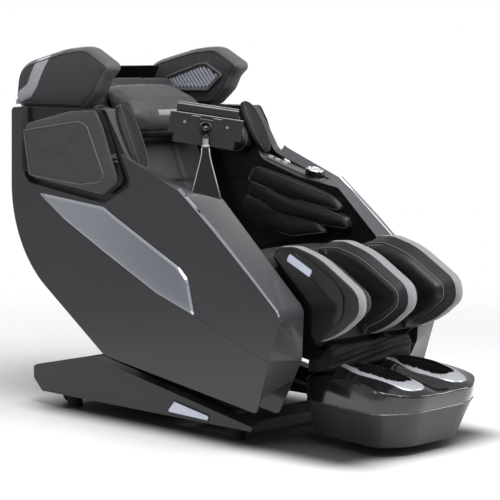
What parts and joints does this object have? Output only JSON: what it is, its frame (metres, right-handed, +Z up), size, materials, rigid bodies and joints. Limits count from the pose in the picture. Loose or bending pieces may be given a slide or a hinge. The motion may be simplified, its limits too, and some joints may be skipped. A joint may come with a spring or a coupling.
{
  "type": "massage chair",
  "caption": "Full-body massage chair: a capsule of side shells, cushions and head wings that slides and tilts on a low base, with a folding leg rest, foot wells and a device holder",
  "frame": {"origin": "on the floor, in the centre plane of the sitter, midway between the front of the foot rest and the rearmost line of the shells", "axes": "+Z up, -Y the way the sitter faces, +X the sitter's left, where the control panel is"},
  "size_m": [0.762, 1.5974, 1.1945],
  "materials": {
    "black_leather": "matt pebbled leather",
    "shell_plastic": "satin charcoal",
    "panel_plastic": "satin grey",
    "silver_paint": "silver metallic paint",
    "grille_metal": "anodised",
    "black_plastic": "fine grain",
    "gloss_black": "piano gloss",
    "frame_steel": "black powder coat",
    "steel": "bright",
    "rubber": "black",
    "light_lens": "white translucent lens",
    "deck_paint": "silver white",
    "airbag_fabric": "coated fabric",
    "ridge_fabric": "black leather with grey mesh fronts",
    "bellows_fabric": "black crinkled fabric",
    "tray_plastic": "grey satin"
  },
  "bodies": {
    "base": {"base_frame": "frame_steel", "base_skirts": "panel_plastic", "base_lenses": "light_lens", "base_rear_deck": "deck_paint", "power_inlet": "black_plastic", "rubber_feet": "rubber", "control_box": "black_plastic"},
    "rocker": {"power_switch": "black_plastic"},
    "wheels": {"transport_wheels": "rubber"},
    "carriage": {"slide_carriage": "frame_steel", "tilt_shaft": "steel"},
    "tilt_drive": {"recline_motor": "black_plastic"},
    "tilt_rod": {"recline_rod": "steel"},
    "capsule": {"seat_back_frame": "frame_steel", "guide_rails": "steel", "air_pump": "black_plastic", "side_shell_left": "shell_plastic", "side_shell_right": "shell_plastic", "upper_panel_left": "panel_plastic", "upper_panel_right": "panel_plastic", "silver_blades": "silver_paint", "shoulder_pads": "black_leather", "back_cover": "shell_plastic", "head_wing_left": "black_leather", "head_wing_right": "black_leather", "speaker_grilles": "grille_metal", "shoulder_airbags": "airbag_fabric", "arm_airbags": "airbag_fabric", "back_cushion": "black_leather", "seat_cushion": "black_leather", "head_pillow": "black_leather", "control_panel": "gloss_black", "holder_bracket": "black_plastic"},
    "knob": {"control_knob": "silver_paint"},
    "holder_arm": {"holder_tube": "black_plastic"},
    "holder_head": {"holder_plate": "black_plastic"},
    "jaw": {"clamp_jaw": "black_plastic"},
    "massage_unit": {"massage_carriage": "frame_steel"},
    "rocking_arms": {"kneading_arms": "black_plastic"},
    "upper_heads": {"massage_heads_upper": "rubber"},
    "lower_heads": {"massage_heads_lower": "rubber"},
    "leg_drive": {"leg_motor": "black_plastic"},
    "leg_plunger": {"leg_rod": "steel"},
    "leg_rest": {"leg_frame": "frame_steel", "calf_shell": "gloss_black", "calf_lights": "light_lens", "calf_pad_left": "ridge_fabric", "calf_pad_middle": "ridge_fabric", "calf_pad_right": "ridge_fabric"},
    "foot_rest": {"foot_slides": "steel", "foot_housing": "gloss_black", "foot_tray": "tray_plastic", "foot_trims": "silver_paint", "foot_liners": "black_plastic", "bellows": "bellows_fabric"},
    "sole_rollers": {"foot_rollers": "rubber"},
    "button_1": {"control_button_1": "black_plastic"},
    "button_2": {"control_button_2": "black_plastic"},
    "button_3": {"control_button_3": "black_plastic"},
    "button_4": {"control_button_4": "black_plastic"}
  },
  "joints": [
    {"name": "power_rocker", "type": "hinge", "parent": "base", "child": "rocker", "pos_m": [-0.12, 0.701, 0.103], "axis": [1, 0, 0], "range_deg": [-7, 7]},
    {"name": "wheel_spin", "type": "hinge", "parent": "base", "child": "wheels", "pos_m": [0, 0.632, 0.033], "axis": [1, 0, 0], "continuous": true},
    {"name": "capsule_slide", "type": "slide", "parent": "base", "child": "carriage", "axis": [0, -0.9842, -0.1771], "range_m": [0, 0.15]},
    {"name": "capsule_tilt", "type": "hinge", "parent": "carriage", "child": "capsule", "pos_m": [0, 0.282, 0.215], "axis": [-1, 0, 0], "range_deg": [0, 25]},
    {"name": "recline_motor_swing", "type": "hinge", "parent": "carriage", "child": "tilt_drive", "pos_m": [0, 0.04593, 0.13267], "axis": [-1, 0, 0], "range_deg": [0, 12.5]},
    {"name": "recline_rod_travel", "type": "slide", "parent": "tilt_drive", "child": "tilt_rod", "axis": [0, 0.144, 0.9896], "range_m": [0, 0.0906]},
    {"name": "legrest_raise", "type": "hinge", "parent": "capsule", "child": "leg_rest", "pos_m": [0, -0.303, 0.505], "axis": [-1, 0, 0], "range_deg": [0, 55]},
    {"name": "leg_motor_swing", "type": "hinge", "parent": "capsule", "child": "leg_drive", "pos_m": [0, -0.1313, 0.3673], "axis": [-1, 0, 0], "range_deg": [0, 9]},
    {"name": "leg_rod_travel", "type": "slide", "parent": "leg_drive", "child": "leg_plunger", "axis": [0, -0.9163, 0.4004], "range_m": [0, 0.0406]},
    {"name": "footrest_extend", "type": "slide", "parent": "leg_rest", "child": "foot_rest", "axis": [0, -0.5878, -0.809], "range_m": [0, 0.111]},
    {"name": "sole_roller_spin", "type": "hinge", "parent": "foot_rest", "child": "sole_rollers", "pos_m": [0, -0.65, 0.08], "axis": [1, 0, 0], "continuous": true},
    {"name": "knob_turn", "type": "hinge", "parent": "capsule", "child": "knob", "pos_m": [0.304, 0.01206, 0.77207], "axis": [0, -0.2706, 0.9627], "continuous": true},
    {"name": "holder_swivel", "type": "hinge", "parent": "capsule", "child": "holder_arm", "pos_m": [-0.3, -0.092, 0.893], "axis": [0, 0, 1], "range_deg": [-60, 60]},
    {"name": "holder_tilt", "type": "hinge", "parent": "holder_arm", "child": "holder_head", "pos_m": [-0.3, -0.092, 0.951], "axis": [0.7009, -0.7133, 0], "range_deg": [-14, 20]},
    {"name": "jaw_open", "type": "slide", "parent": "holder_head", "child": "jaw", "axis": [-0.0431, -0.2496, 0.9674], "range_m": [0, 0.03], "stiffness_N_per_m": 60, "springref_m": -0.02},
    {"name": "massage_travel", "type": "slide", "parent": "capsule", "child": "massage_unit", "axis": [0, 0.4384, 0.8988], "range_m": [0, 0.22]},
    {"name": "knead_rock", "type": "hinge", "parent": "massage_unit", "child": "rocking_arms", "pos_m": [0, 0.49931, 0.61328], "axis": [1, 0, 0], "range_deg": [-7, 7]},
    {"name": "upper_head_spin", "type": "hinge", "parent": "rocking_arms", "child": "upper_heads", "pos_m": [0, 0.48969, 0.68251], "axis": [1, 0, 0], "continuous": true},
    {"name": "lower_head_spin", "type": "hinge", "parent": "rocking_arms", "child": "lower_heads", "pos_m": [0, 0.43883, 0.57825], "axis": [1, 0, 0], "continuous": true},
    {"name": "button_1_press", "type": "slide", "parent": "capsule", "child": "button_1", "axis": [0, 0.2706, -0.9627], "range_m": [0, 0.0015], "stiffness_N_per_m": 300, "springref_m": -0.001},
    {"name": "button_2_press", "type": "slide", "parent": "capsule", "child": "button_2", "axis": [0, 0.2706, -0.9627], "range_m": [0, 0.0015], "stiffness_N_per_m": 300, "springref_m": -0.001},
    {"name": "button_3_press", "type": "slide", "parent": "capsule", "child": "button_3", "axis": [0, 0.2706, -0.9627], "range_m": [0, 0.0015], "stiffness_N_per_m": 300, "springref_m": -0.001},
    {"name": "button_4_press", "type": "slide", "parent": "capsule", "child": "button_4", "axis": [0, 0.2706, -0.9627], "range_m": [0, 0.0015], "stiffness_N_per_m": 300, "springref_m": -0.001}
  ],
  "couplings": [
    {"joint": "capsule_tilt", "follows": "capsule_slide", "rad_per_m": 2.9089},
    {"joint": "recline_motor_swing", "follows": "capsule_slide", "rad_per_m": 1.4544},
    {"joint": "recline_rod_travel", "follows": "capsule_slide", "ratio": 0.6034},
    {"joint": "leg_motor_swing", "follows": "legrest_raise", "ratio": 0.1618},
    {"joint": "leg_rod_travel", "follows": "legrest_raise", "m_per_rad": 0.0422},
    {"joint": "footrest_extend", "follows": "legrest_raise", "m_per_rad": 0.1146}
  ]
}
